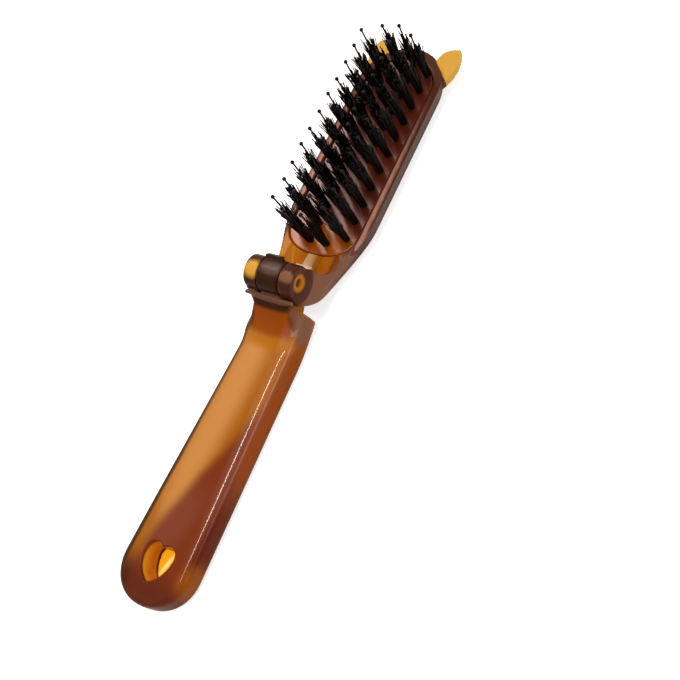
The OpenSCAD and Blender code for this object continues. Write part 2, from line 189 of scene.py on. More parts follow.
def soften(piece, voxel, passes, calm=None):
    """Rebuilds a solid as one even skin and rounds every edge a little, as a mould does.
    Where calm(x, y, z) is true, in millimetres from the hinge, the skin goes back onto the exact form,
    so that a highlight runs along it without a break."""
    guide = bpy.data.objects.new("guide", piece.data.copy())
    bpy.context.scene.collection.objects.link(guide)
    skin = piece.modifiers.new("skin", "REMESH")
    skin.mode = "VOXEL"
    skin.voxel_size = voxel * MM
    skin.use_smooth_shade = True
    ease = piece.modifiers.new("ease", "SMOOTH")
    ease.factor = 0.5
    ease.iterations = passes
    evaluated_mesh(piece)
    if calm:
        region = piece.vertex_groups.new(name="calm")
        region.add([v.index for v in piece.data.vertices if calm(*((v.co - hinge) / MM))], 1.0, "REPLACE")
        back_on_form = piece.modifiers.new("back_on_form", "SHRINKWRAP")
        back_on_form.target = guide
        back_on_form.vertex_group = region.name
        glide = piece.modifiers.new("glide", "SMOOTH")
        glide.factor = 0.5
        glide.iterations = 16
        glide.vertex_group = region.name
        evaluated_mesh(piece)
    bpy.data.objects.remove(guide)
    for face in piece.data.polygons:
        face.use_smooth = True
    return piece


# %% [markdown]
# ## The handle
# On the real brush the handle is one smooth bar with a heart-shaped hanging hole, a ramp that climbs to
# a thin lip at the hinge, and a centre knuckle on a rounded tongue. It is lofted from soft rectangles,
# because the section changes all along it: square at the ramp, softer in the hand, round at the heel.

# %% Handle sizes
end_gap = 5.4
handle_reach = -handle_low.x
handle_drop = 10.1
outer_z = box_mm("handle_cover")[0].z
part_z = handle_low.z
ramp_len = 12.5
handle_w_hinge = 17.0
handle_w_heel = 21.0
end_narrowing = 0.8
lip_w = 15.2
neck_w = 10.8
lip_z = -1.1
lip_r = 0.6
shoulder_z = 0.1 - handle_drop
inner_narrowing = 1.6
end_slant = 2.0
end_lift = 1.6
heel_r = handle_w_heel / 2
heel_centre_u = handle_reach - heel_r
handle_t = -handle_drop - outer_z
heart_inset = 5.8
heart_len = 10.0
heart_w = 9.1
heart_margin = 1.5
centre_half = 3.3
knuckle_r = 4.6
knuckle_gap = 0.25
hinge_half = 7.4
tongue_reach = 9.8
tongue_drop = 4.8
lug_h = 1.1
lug_inset = 1.6
lug_turn = -38
tongue_step = 2.8
knuckle_edge = 0.35
skin_voxel = 0.3
pin_r = 1.1
print("heel at", -handle_reach, "parting at", part_z, "outer face at", outer_z)

# %% Handle form
def handle_half_w(u):
    straight = mix(handle_w_hinge, handle_w_heel, (u - end_gap) / (heel_centre_u - end_gap)) / 2
    return straight - end_narrowing / 2 * (1 - smooth((u - end_gap) / ramp_len))


def ramp_z(u):
    s = clamp01((u - end_gap) / ramp_len)
    return -handle_drop + (handle_drop + lip_z) * (1 - s) ** 2


def neck_share(z):
    """Share of the full width at height z: a narrow neck that flares to the lip."""
    full = handle_w_hinge - end_narrowing
    climb = clamp01((z - shoulder_z) / (lip_z - shoulder_z))
    return 1 - (1 - neck_w / full) * math.sqrt(climb) + (lip_w - neck_w) / full * smooth((climb - 0.6) / 0.4)


def soft_power(v, n):
    return math.copysign(abs(v) ** (2 / n), v)


def handle_ring(u, points=120):
    q = clamp01((u - heel_centre_u) / heel_r)
    w = handle_half_w(min(u, heel_centre_u)) * math.sqrt(1 - q * q)
    top = ramp_z(u)
    low = outer_z + end_lift * (1 - clamp01((u - end_gap) / ramp_len)) ** 2
    middle = (top + low) / 2
    h = (top - low) / 2 * (1 - q ** 5) ** 0.2
    along = smooth((u - end_gap) / ramp_len)
    n = mix(6, 5, along)
    towards_heel = smooth((u - end_gap) / (heel_centre_u - end_gap))
    narrow = inner_narrowing / handle_w_hinge * along * (1 - towards_heel)
    slant = end_slant * (1 - along)
    ring = []
    for k in range(points):
        a = 2 * math.pi * k / points
        y = w * soft_power(math.cos(a), n)
        z = middle + h * max(-1, soft_power(math.sin(a), n) * (1.04 if math.sin(a) < 0 else 1))
        drop = (top - z) / (handle_t + handle_drop)
        taper = 1 - narrow * (1 + (z - middle) / h) / 2
        ring.append((slant * drop * 1.3 - u, y * neck_share(z) * taper, z))
    return ring


def heart_outline(steps=24):
    """A heart, its point towards the heel: two bowed sides that run into two round lobes."""
    half = heart_w / 2
    lobe_r = heart_w * 0.28
    point_x = heart_inset - handle_reach
    lobe_x = point_x + heart_len - lobe_r
    side_r = ((lobe_x - point_x) ** 2 + half ** 2) / (2 * half)
    opening = math.asin((lobe_x - point_x) / side_r)
    side = [(lobe_x + side_r * math.sin(a), half - side_r + side_r * math.cos(a))
            for a in [opening * (k / steps - 1) for k in range(steps + 1)]]
    # Each lobe turns from the end of its side to where it meets its twin on the centre line
    meeting = -math.asin((half - lobe_r) / lobe_r)
    lobe = [(lobe_x + lobe_r * math.cos(a), half - lobe_r + lobe_r * math.sin(a))
            for a in [mix(math.pi / 2, meeting, k / steps) for k in range(1, steps + 1)]]
    upper = side + lobe
    return upper + [(x, -y) for x, y in reversed(upper[1:]) if y > 0.001]


def make_handle_form():
    stations = [end_gap + ramp_len * k / 40 for k in range(41)]
    stations += [mix(end_gap + ramp_len, heel_centre_u, k / 60) for k in range(1, 61)]
    stations += [heel_centre_u + heel_r * math.sin(math.radians(a)) for a in range(3, 88, 3)]
    stations += [heel_centre_u + heel_r * math.sin(math.radians(89))]
    form = loft("handle", [handle_ring(u) for u in stations])
    lip = cross_bar("lip", -lip_w / 2, lip_w / 2, lip_r, x=-end_gap - 0.1, z=lip_z - lip_r, edge=0.3)
    knuckle = cross_bar("centre_knuckle", -centre_half, centre_half, knuckle_r, edge=knuckle_edge)
    lug = block("lug", (knuckle_r - 1, lug_inset - centre_half, -1), (knuckle_r + lug_h, centre_half, 1))
    about_hinge = Matrix.Rotation(math.radians(lug_turn), 4, "Y")
    lug.data.transform(Matrix.Translation(hinge) @ about_hinge @ Matrix.Translation(-hinge))
    rise = part_z + tongue_drop
    stand = tongue_reach - tongue_step
    tongue_r = (stand * stand + rise * rise) / 2 / stand
    tongue = cross_bar("tongue", -centre_half, centre_half, tongue_r, x=tongue_reach - end_gap - tongue_r,
                       z=-tongue_drop, edge=knuckle_edge, steps=160)
    keep = block("keep", (-end_gap - 0.6, -2 * centre_half, part_z), (10, 2 * centre_half, -2.2))
    combine(tongue, [keep], "INTERSECT")
    combine(form, [lip, knuckle, lug, tongue], "UNION")
    bore = cross_bar("bore", -centre_half - 1, centre_half + 1, pin_r + 0.05)
    heart = prism("heart", heart_outline(), outer_z - 2, -handle_drop + 2)
    return combine(form, [bore, heart], "DIFFERENCE")


def cut_at(piece, z, keep_above, name):
    """A copy of the piece on one side of a level plane, its cut closed."""
    bm = bmesh.new()
    bm.from_mesh(piece.data)
    plane = in_frame((0, 0, z))
    everything = bm.verts[:] + bm.edges[:] + bm.faces[:]
    cut = bmesh.ops.bisect_plane(bm, geom=everything, plane_co=plane, plane_no=(0, 0, 1),
                                 clear_outer=not keep_above, clear_inner=keep_above)
    rim = [e for e in cut["geom_cut"] if isinstance(e, bmesh.types.BMEdge)]
    for face in bmesh.ops.triangle_fill(bm, edges=rim, use_beauty=True)["geom"]:
        if isinstance(face, bmesh.types.BMFace):
            face.smooth = False
    mesh = bpy.data.meshes.new(name)
    bm.to_mesh(mesh)
    bm.free()
    part = bpy.data.objects.new(name, mesh)
    bpy.context.scene.collection.objects.link(part)
    return part


def on_long_body(x, y, z):
    """The plain stretch of the handle, away from the hinge and the heart."""
    heart_middle = heart_inset + heart_len / 2 - handle_reach
    beside_heart = abs(y) > heart_w / 2 + heart_margin
    past_heart = abs(x - heart_middle) > heart_len / 2 + heart_margin
    return x < -end_gap - ramp_len * 0.5 and (beside_heart or past_heart)


handle_form = soften(make_handle_form(), skin_voxel, 5, on_long_body)
seam = 0.03
handle_top = cut_at(handle_form, part_z + seam, True, "handle_top")
handle_back = cut_at(handle_form, part_z - seam, False, "handle_back")
bpy.data.objects.remove(handle_form)
print("handle skin:", len(handle_top.data.polygons), "and", len(handle_back.data.polygons), "faces")

# %% [markdown]
# ## The head
# The head is a shallow tray with leaning walls. Towards the hinge its rim rises into two cheeks that
# carry the outer knuckles, and its back sweeps up under them. The tray is a loft, and the pocket for
# the pad, the well by the hinge, the mirror's recess and the pin's bore are cut out of it.

# %% Head sizes
rim_z = -10.9
pad_floor_z = pad_low.z
back_z = head_low.z
pad_x0 = pad_low.x
pad_x1 = pad_high.x
pad_half = (pad_high.y - pad_low.y) / 2
rim_t = 2.6
tip_extra = 1.2
head_half_w = pad_half + rim_t
tip_x = pad_x1 + rim_t + tip_extra
tip_centre_x = tip_x - head_half_w
nose_x = 0.7 - end_gap
nose_top_z = -0.8
nose_low_z = -5.0
nose_half_w = hinge_half + 1.4
cheek_end_x = pad_x0 + 0.2
cheek_start_x = knuckle_r + 0.6
flare_end_x = cheek_end_x + 15
belly_end_x = cheek_end_x + 6.5
cheek_t = 1.3
mirror_web = 1.3
wall_inset = 1.5
back_edge_r = 1.8
well_depth = 1.9
pad_drop = 11.4
pad_end_len = 8.5
pad_end_n = 2.4
pad_gap = 0.12
notch_r = 13.85
ear_reach = 3
ear_span = 28
ear_t = 2.6
ear_drop = 1.5
ear_bulge = 1.5
ear_tip_r = 0.9
print("head back at", back_z, "tip at", tip_x, "widest", head_half_w)


# %% Head form
def belly_z(x):
    s = clamp01((x - nose_x) / (belly_end_x - nose_x))
    return back_z + (nose_low_z - back_z) * (1 - s) ** 3.6


def top_z(x):
    s = clamp01((x - cheek_start_x) / (cheek_end_x - cheek_start_x))
    return rim_z + (nose_top_z - rim_z) * (1 - s) ** 4.4


def head_half(x):
    flare = smooth((x - cheek_start_x + 1) / (flare_end_x - cheek_start_x))
    rounding = math.sqrt(1 - clamp01((x - tip_centre_x) / head_half_w) ** 2)
    return mix(nose_half_w, head_half_w, flare) * rounding


def flank_half(x, z):
    w = head_half(x)
    climb = clamp01((z - rim_z) / (nose_top_z - rim_z)) ** 1.5
    return w - max(0, w - hinge_half - 0.2) * climb * (1 - smooth((x - cheek_end_x) / 8))


def mirrored(half, x):
    return [(x, y, z) for y, z in half] + [(x, -y, z) for y, z in reversed(half)]


def head_ring(x):
    t, b, w = top_z(x), belly_z(x), head_half(x)
    r = min(back_edge_r, (t - b) * 0.45, w * 0.5)
    lean = wall_inset * w / head_half_w
    wall = []
    for k in range(21):
        z = mix(t, b + r, k / 20)
        wall.append((flank_half(x, z) - lean * clamp01((rim_z - z) / (rim_z - back_z)), z))
    corner = [(wall[-1][0] - r + r * math.cos(a), b + r - r * math.sin(a))
              for a in [math.radians(6 * k) for k in range(1, 16)]]
    return mirrored(wall + corner, x)


def pad_outline(grow, steps=60):
    """Round at the tip, flatter at the hinge end, drawn outwards by grow."""
    half = pad_half + grow
    x0 = pad_x0 - grow
    x1 = pad_x1 + grow - half
    tip = [(x1 + half * math.cos(a), half * math.sin(a))
           for a in [math.pi * (k / steps - 0.5) for k in range(steps + 1)]]
    power = 2 / pad_end_n
    end = [(x0 + pad_end_len - pad_end_len * math.cos(a) ** power,
            half * math.copysign(abs(math.sin(a)) ** power, a))
           for a in [math.pi * (0.5 - k / steps) for k in range(steps + 1)]]
    return tip + end


def well_ring(x):
    floor = max(belly_z(x) + cheek_t + 0.5, mix(-pad_drop - well_depth, rim_z, smooth((x - 9) / 9)))
    w, r = head_half(x) - cheek_t - 0.6, 3
    half = [(w, 15)] + [(w - r + r * math.cos(a), floor + r - r * math.sin(a))
                        for a in [math.radians(7.5 * k) for k in range(13)]]
    return mirrored(half, x)


def arc_points(p, q, sag, steps=24):
    """Points from p to q along an arc that bulges to the right by sag."""
    along = Vector(q) - Vector(p)
    half = along.length / 2
    r = (half * half + sag * sag) / (2 * sag)
    side = Vector((along.y, -along.x)) / along.length
    centre = (Vector(p) + Vector(q)) / 2 - side * (r - sag)
    opening = math.asin(half / r)
    along.normalize()
    return [tuple(centre + r * (side * math.cos(a) + along * math.sin(a)))
            for a in [opening * (2 * k / steps - 1) for k in range(steps + 1)]]


def make_ear(side):
    """A flat leaf: two bowed sides from the rim to a rounded tip."""
    tip = Vector((tip_x + ear_reach - ear_tip_r, ear_span / 2 - ear_tip_r))
    outer_base = Vector((tip_x - 10.5, head_half_w - 1.2))
    inner_base = Vector((tip_x - 2.2, head_half_w - 6))
    out = Vector((tip.y - outer_base.y, outer_base.x - tip.x)).normalized() * -ear_tip_r
    inn = Vector((inner_base.y - tip.y, tip.x - inner_base.x)).normalized() * -ear_tip_r
    first = arc_points(inner_base, tip + inn, ear_bulge)
    last = arc_points(tip + out, outer_base, ear_bulge)
    start = math.atan2(inn.y, inn.x)
    sweep = (math.atan2(out.y, out.x) - start) % (2 * math.pi)
    cap = [(tip.x + ear_tip_r * math.cos(a), tip.y + ear_tip_r * math.sin(a))
           for a in [start + sweep * k / 12 for k in range(1, 12)]]
    outline = [(x, side * y) for x, y in first + cap + last + [(tip_x - 9, 4)]]
    ear = prism("ear", outline, rim_z - ear_drop - ear_t, rim_z - ear_drop)
    rounding = ear.modifiers.new("rounding", "BEVEL")
    rounding.width = 0.6 * MM
    rounding.segments = 3
    return evaluated_mesh(ear)


mirror_low, mirror_high = box_mm("mirror_glass")
mirror_gap = 0.15


def stadium(x0, x1, w, steps=40):
    """A straight strip with half-round ends."""
    r = w / 2

    def half_round(x, start):
        return [(x + r * math.cos(a), r * math.sin(a))
                for a in [math.pi * (k / steps + start) for k in range(steps + 1)]]

    return half_round(x1 - r, -0.5) + half_round(x0 + r, 0.5)


stop_low, stop_high = box_mm("hinge_stop")


def make_head_form():
    stations = [nose_x + (belly_end_x - nose_x) * (k / 50) ** 1.2 for k in range(51)]
    stations += [mix(belly_end_x, flare_end_x, k / 12) for k in range(1, 13)]
    stations += [mix(flare_end_x, tip_centre_x, k / 20) for k in range(1, 20)]
    stations += [tip_centre_x + head_half_w * math.sin(math.radians(a)) for a in range(0, 88, 3)]
    stations += [tip_centre_x + head_half_w * math.sin(math.radians(88.6))]
    form = loft("head_tray", [head_ring(x) for x in stations])
    combine(form, [make_ear(-1), make_ear(1)], "UNION")
    pocket = prism("pocket", pad_outline(pad_gap), pad_floor_z, 10)
    well = loft("well", [well_ring(2.5 + 0.5 * k) for k in range(31)])
    combine(form, [pocket, well], "DIFFERENCE")
    inner = centre_half + knuckle_gap
    knuckles = [cross_bar("knuckle", y0, y1, knuckle_r, edge=0.4)
                for y0, y1 in ((-hinge_half, -inner), (inner, hinge_half))]
    combine(form, knuckles, "UNION")
    notch = cross_bar("notch", -centre_half - knuckle_gap, centre_half + knuckle_gap, notch_r, steps=160)
    bore = cross_bar("bore", -12, hinge_half - 1.2, pin_r + 0.02)
    mirror_w = mirror_high.y - mirror_low.y
    outline = stadium(mirror_low.x - mirror_gap, mirror_high.x + mirror_gap, mirror_w + 2 * mirror_gap)
    recess = prism("recess", outline, back_z - 1, pad_floor_z - mirror_web)
    return combine(form, [notch, bore, recess], "DIFFERENCE")


head_form = soften(make_head_form(), skin_voxel, 4)
head_form.name = "head_tray"
print("head skin:", len(head_form.data.polygons), "faces")

# %% [markdown]
# ## The bristle pad
# A soft-edged plate of the same plastic drops into the tray. A fine dark line shows all round it where
# the two pieces meet, so the pad is its own mesh with its top edge rounded.

# %% Pad
def make_pad():
    edge = 0.35
    levels = [(pad_low.z + 0.02, 0.0), (pad_high.z - edge, 0.0)]
    levels += [(pad_high.z - edge * (1 - math.sin(a)), -edge * (1 - math.cos(a)))
               for a in [math.radians(15 * k) for k in range(1, 7)]]
    pad = loft("pad", [[(x, y, z) for x, y in pad_outline(grow)] for z, grow in levels])
    for face in pad.data.polygons:
        face.use_smooth = abs(face.normal.z) < 0.999
    return pad


pad = make_pad()

# %% [markdown]
# ## The stop in the well
# A small T of paler plastic stands in the well behind the centre knuckle, its rib towards the pad. It
# is short and blocky, so it is an extruded profile with a bar across it, softened like the rest.

# %% Stop
bar_t = 1.1
bar_h = 2.2
rib_w = 3.0
rib_y = -0.8


def make_stop():
    foot_x = stop_low.x + bar_t - 0.3
    profile = [(foot_x, stop_high.z - 0.1), (stop_high.x, rim_z + 0.4), (stop_high.x, stop_low.z),
               (foot_x, stop_low.z)]
    rib_sides = (rib_y - rib_w / 2, rib_y + rib_w / 2)
    rib = loft("hinge_rib", [[(x, y, z) for x, z in profile] for y in rib_sides])
    bar_low = (stop_low.x, stop_low.y, stop_high.z - bar_h)
    bar = block("hinge_bar", bar_low, (stop_low.x + bar_t, stop_high.y, stop_high.z))
    stop = combine(rib, [bar], "UNION")
    stop.name = "hinge_t_stop"
    return soften(stop, 0.1, 2)


t_stop = make_stop()

# %% [markdown]
# ## Tufts of bristle
# Each tuft is a bundle of springy filaments pushed through the pad. They start close together, spread
# towards their ragged ends, and no two are alike. A Geometry Nodes tree fits this well: a line of points
# per row, each point copied once per filament, and a curved filament placed on every copy with its own
# lean, turn and length from seeded random values.

# %% Node helpers
def add_sockets(tree, side, sockets):
    """Named group sockets, each given as (label, kind), with a default if it has one."""
    made = {}
    for label, kind, *default in sockets:
        socket = tree.interface.new_socket(label, in_out=side, socket_type="NodeSocket" + kind)
        if default:
            socket.default_value = default[0]
        made[label] = socket.identifier
    return made


def new_tree(name, inputs):
    """A geometry tree with one geometry output and named inputs."""
    tree = bpy.data.node_groups.new(name, "GeometryNodeTree")
    names = add_sockets(tree, "INPUT", inputs)
    add_sockets(tree, "OUTPUT", [("Geometry", "Geometry")])
    return tree, names


def add(tree, kind, settings=None, **inputs):
    """A node with its settings and inputs, where an input is a value or another node's output."""
    node = tree.nodes.new(kind)
    for key, value in (settings or {}).items():
        setattr(node, key, value)
    for key, value in inputs.items():
        put(tree, node, key.replace("_", " "), value)
    return node


def put(tree, node, key, value):
    """Fills the enabled input called key, or the input with that number."""
    if key.isdigit():
        socket = node.inputs[int(key)]
    else:
        socket = next(s for s in node.inputs if s.enabled and s.name.lower() == key.lower())
    if isinstance(value, bpy.types.NodeSocket):
        tree.links.new(value, socket)
    else:
        socket.default_value = value


def out(node, label=None):
    return next(s for s in node.outputs if s.enabled and (label is None or s.name == label))


def math_node(tree, operation, a, b=None, c=None):
    node = tree.nodes.new("ShaderNodeMath")
    node.operation = operation
    for socket, value in zip(node.inputs, (a, b, c)):
        if value is None:
            continue
        if isinstance(value, bpy.types.NodeSocket):
            tree.links.new(value, socket)
        else:
            socket.default_value = value
    return node.outputs[0]


def random_value(tree, low, high, seed):
    node = tree.nodes.new("FunctionNodeRandomValue")
    node.data_type = "FLOAT"
    put(tree, node, "Min", low)
    put(tree, node, "Max", high)
    put(tree, node, "Seed", seed)
    return out(node)


# %% Row trees
row_inputs = [
    ("Count", "Int"), ("Pitch", "Float"), ("Start", "Vector"), ("Lean", "Float"), ("Length", "Float"),
    ("Thickness", "Float"), ("Seed", "Int"), ("Material", "Material")]


def row_points(tree, given):
    """Points in a line along X, one for each tuft of a row."""
    step = add(tree, "ShaderNodeCombineXYZ", X=given["Pitch"])
    line = add(tree, "GeometryNodeMeshLine", {"mode": "OFFSET"}, Count=given["Count"],
               Start_Location=given["Start"], Offset=out(step))
    return out(add(tree, "GeometryNodeMeshToPoints", Mesh=out(line)))


def aimed(tree, x, y):
    """The rotation that turns Z towards (x, y, 1)."""
    direction = add(tree, "ShaderNodeCombineXYZ", X=x, Y=y, Z=1.0)
    return out(add(tree, "FunctionNodeAlignRotationToVector", {"axis": "Z"}, Vector=out(direction)))


def tube(tree, curve, radius, sides):
    """A closed tube round a curve."""
    rim = add(tree, "GeometryNodeCurvePrimitiveCircle", {"mode": "RADIUS"}, Resolution=sides, Radius=radius)
    return out(add(tree, "GeometryNodeCurveToMesh", Curve=curve, Profile_Curve=out(rim, "Curve"),
                   Fill_Caps=True))


def spawn(tree, given, points, instance, rotation, scale=(1.0, 1.0, 1.0)):
    """Real copies of one form on all the points, as the tree's result."""
    spawned = add(tree, "GeometryNodeInstanceOnPoints", Points=points, Instance=instance,
                  Rotation=rotation, Scale=scale)
    real = add(tree, "GeometryNodeRealizeInstances", Geometry=out(spawned))
    coloured = add(tree, "GeometryNodeSetMaterial", Geometry=out(real), Material=given["Material"])
    tree.links.new(out(coloured), tree.nodes.new("NodeGroupOutput").inputs[0])


# %% Filament tuft tree
lean_jitter = 0.035
shortest_power = 1.4


def build_tuft_tree():
    tree, names = new_tree("tuft rows", row_inputs + [
        ("Filaments", "Int"), ("Root Radius", "Float"), ("Splay", "Float"), ("Shortest", "Float")])
    given = tree.nodes.new("NodeGroupInput").outputs

    def calc(operation, *values):
        return math_node(tree, operation, *values)

    def chance(low, high, step):
        """A random value of its own for each filament, from the row's seed plus step."""
        return random_value(tree, low, high, calc("ADD", given["Seed"], step))

    copies = add(tree, "GeometryNodeDuplicateElements", {"domain": "POINT"},
                 Geometry=row_points(tree, given), Amount=given["Filaments"])
    # The root of each filament lies somewhere in a small disc
    angle = chance(0.0, 2 * math.pi, 0)
    spread = calc("SQRT", chance(0.02, 1.0, 7))
    radius = calc("MULTIPLY", spread, given["Root Radius"])
    cosine = calc("COSINE", angle)
    sine = calc("SINE", angle)
    root = add(tree, "ShaderNodeCombineXYZ", X=calc("MULTIPLY", radius, cosine),
               Y=calc("MULTIPLY", radius, sine))
    placed = add(tree, "GeometryNodeSetPosition", Geometry=out(copies, "Geometry"), Offset=out(root))
    # It leans outwards by its distance from the middle, and the whole tuft leans towards the hinge
    outwards = calc("MULTIPLY", spread, given["Splay"])
    lean_x = calc("ADD", calc("MULTIPLY", outwards, cosine), chance(-lean_jitter, lean_jitter, 13))
    lean_y = calc("ADD", calc("MULTIPLY", outwards, sine), chance(-lean_jitter, lean_jitter, 19))
    aim = aimed(tree, calc("SUBTRACT", lean_x, given["Lean"]), lean_y)
    spin = add(tree, "ShaderNodeCombineXYZ", Z=chance(0.0, 2 * math.pi, 29))
    spin_rotation = add(tree, "FunctionNodeEulerToRotation", Euler=out(spin))
    turned = add(tree, "FunctionNodeRotateRotation", {"rotation_space": "LOCAL"}, Rotation=aim,
                 Rotate_By=out(spin_rotation))
    # Ragged ends: most filaments reach nearly full length and a few stay short
    shortness = calc("POWER", chance(0.0, 1.0, 37), shortest_power)
    stretch = calc("SUBTRACT", 1.0, calc("MULTIPLY", shortness, calc("SUBTRACT", 1.0, given["Shortest"])))
    size = add(tree, "ShaderNodeCombineXYZ", X=1.0, Y=1.0, Z=stretch)
    # One filament, slightly bowed
    length = given["Length"]
    top = add(tree, "ShaderNodeCombineXYZ", X=calc("MULTIPLY", length, 0.035), Z=length)
    middle = add(tree, "ShaderNodeCombineXYZ", X=calc("MULTIPLY", length, -0.015),
                 Z=calc("MULTIPLY", length, 0.5))
    bow = add(tree, "GeometryNodeCurveQuadraticBezier", Resolution=4, Start=(0.0, 0.0, 0.0),
              Middle=out(middle), End=out(top))
    filament = tube(tree, out(bow), given["Thickness"], 5)
    spawn(tree, given, out(placed), filament, out(turned), out(size))
    return tree, names


def grow(name, tree, names, values):
    """Runs a geometry tree on an empty mesh and keeps the result as a plain mesh."""
    piece = bpy.data.objects.new(name, bpy.data.meshes.new(name))
    bpy.context.scene.collection.objects.link(piece)
    step = piece.modifiers.new(name, "NODES")
    step.node_group = tree
    for label, value in values.items():
        step[names[label]] = value
    return evaluated_mesh(piece)


def join(name, parts):
    """One mesh from several, all of them at the origin."""
    bm = bmesh.new()
    for part in parts:
        bm.from_mesh(part.data)
    mesh = bpy.data.meshes.new(name)
    bm.to_mesh(mesh)
    bm.free()
    mesh.materials.append(parts[0].data.materials[0])
    for part in parts:
        bpy.data.objects.remove(part)
    piece = bpy.data.objects.new(name, mesh)
    bpy.context.scene.collection.objects.link(piece)
    for face in mesh.polygons:
        face.use_smooth = True
        face.material_index = 0
    return piece


# %% [markdown]
# ## Finishes
# Tortoise plastic is clear amber with clouds of dark brown pigment in it. The clouds are large and soft,
# so they are three-dimensional noise and a few placed patches, read in Object coordinates. Light passes
# through thin parts, so the ears and the well get bright amber clouds and the thick parts dark ones.
# Some placed patches are painted light and shade instead: sheens, glows, dark outlines and shade.

# %% Colour helpers
def linear(r, g, b):
    """A colour as a screen shows it, 0 to 255, as the linear colour that a shader takes."""
    def one(v):
        v = v / 255
        return v / 12.92 if v <= 0.04045 else ((v + 0.055) / 1.055) ** 2.4
    return (one(r), one(g), one(b), 1.0)


def shader_group(name, inputs, outputs):
    """A shader group, with its inputs and outputs as they are seen from inside."""
    tree = bpy.data.node_groups.new(name, "ShaderNodeTree")
    add_sockets(tree, "INPUT", inputs)
    add_sockets(tree, "OUTPUT", outputs)
    return tree, tree.nodes.new("NodeGroupInput").outputs, tree.nodes.new("NodeGroupOutput").inputs


def mix_colour(tree, share, a, b):
    node = tree.nodes.new("ShaderNodeMix")
    node.data_type = "RGBA"
    for key, value in ((0, share), (6, a), (7, b)):
        if isinstance(value, bpy.types.NodeSocket):
            tree.links.new(value, node.inputs[key])
        else:
            node.inputs[key].default_value = value
    return node.outputs[2]


# %% Pigment cloud group
def build_cloud_group():
    """A soft patch: 1 inside an ellipsoid, falling to 0 at its wavy edge."""
    tree, given, result = shader_group("pigment and light cloud", [
        ("Vector", "Vector"), ("Centre", "Vector"), ("Turn", "Float"), ("Radii", "Vector"),
        ("Softness", "Float"), ("Waviness", "Float"), ("Wave Scale", "Float", 60.0)], [("Mask", "Float")])
    away = tree.nodes.new("ShaderNodeVectorMath")
    away.operation = "SUBTRACT"
    tree.links.new(given["Vector"], away.inputs[0])
    tree.links.new(given["Centre"], away.inputs[1])
    turned = tree.nodes.new("ShaderNodeVectorRotate")
    turned.rotation_type = "Z_AXIS"
    tree.links.new(away.outputs[0], turned.inputs["Vector"])
    tree.links.new(math_node(tree, "MULTIPLY", given["Turn"], -1.0), turned.inputs["Angle"])
    scaled = tree.nodes.new("ShaderNodeVectorMath")
    scaled.operation = "DIVIDE"
    tree.links.new(turned.outputs[0], scaled.inputs[0])
    tree.links.new(given["Radii"], scaled.inputs[1])
    length = tree.nodes.new("ShaderNodeVectorMath")
    length.operation = "LENGTH"
    tree.links.new(scaled.outputs[0], length.inputs[0])
    wave = tree.nodes.new("ShaderNodeTexNoise")
    wave.inputs["Detail"].default_value = 2.0
    tree.links.new(given["Vector"], wave.inputs["Vector"])
    tree.links.new(given["Wave Scale"], wave.inputs["Scale"])
    centred = math_node(tree, "SUBTRACT", wave.outputs[0], 0.5)
    wavy = math_node(tree, "MULTIPLY_ADD", centred, math_node(tree, "MULTIPLY", given["Waviness"], 2.0),
                     length.outputs["Value"])
    edge = tree.nodes.new("ShaderNodeMapRange")
    edge.interpolation_type = "SMOOTHERSTEP"
    tree.links.new(wavy, edge.inputs["Value"])
    tree.links.new(math_node(tree, "ADD", 1.0, given["Softness"]), edge.inputs["From Min"])
    tree.links.new(math_node(tree, "SUBTRACT", 1.0, given["Softness"]), edge.inputs["From Max"])
    tree.links.new(edge.outputs[0], result["Mask"])
    return tree


def build_marbling_group():
    """Soft amber and brown marbling with fine cloudiness in it."""
    tree, given, result = shader_group("tortoise marbling", [
        ("Vector", "Vector"), ("Light", "Color"), ("Middle", "Color"), ("Dark", "Color"),
        ("Blotch Scale", "Float", 45.0), ("Darkness", "Float"), ("Contrast", "Float", 0.2)],
        [("Color", "Color")])
    noise = tree.nodes.new("ShaderNodeTexNoise")
    noise.inputs["Detail"].default_value = 3.0
    noise.inputs["Roughness"].default_value = 0.45
    noise.inputs["Distortion"].default_value = 0.6
    tree.links.new(given["Vector"], noise.inputs["Vector"])
    tree.links.new(given["Blotch Scale"], noise.inputs["Scale"])
    ramp = tree.nodes.new("ShaderNodeMapRange")
    ramp.interpolation_type = "SMOOTHSTEP"
    tree.links.new(noise.outputs[0], ramp.inputs["Value"])
    turned = math_node(tree, "SUBTRACT", 1.0, given["Darkness"])
    tree.links.new(math_node(tree, "SUBTRACT", turned, given["Contrast"]), ramp.inputs["From Min"])
    tree.links.new(math_node(tree, "ADD", turned, given["Contrast"]), ramp.inputs["From Max"])
    fine = tree.nodes.new("ShaderNodeTexNoise")
    fine.inputs["Detail"].default_value = 4.0
    tree.links.new(given["Vector"], fine.inputs["Vector"])
    tree.links.new(math_node(tree, "MULTIPLY", given["Blotch Scale"], 2.7), fine.inputs["Scale"])
    body = mix_colour(tree, fine.outputs[0], given["Light"], given["Middle"])
    tree.links.new(mix_colour(tree, ramp.outputs[0], body, given["Dark"]), result["Color"])
    return tree


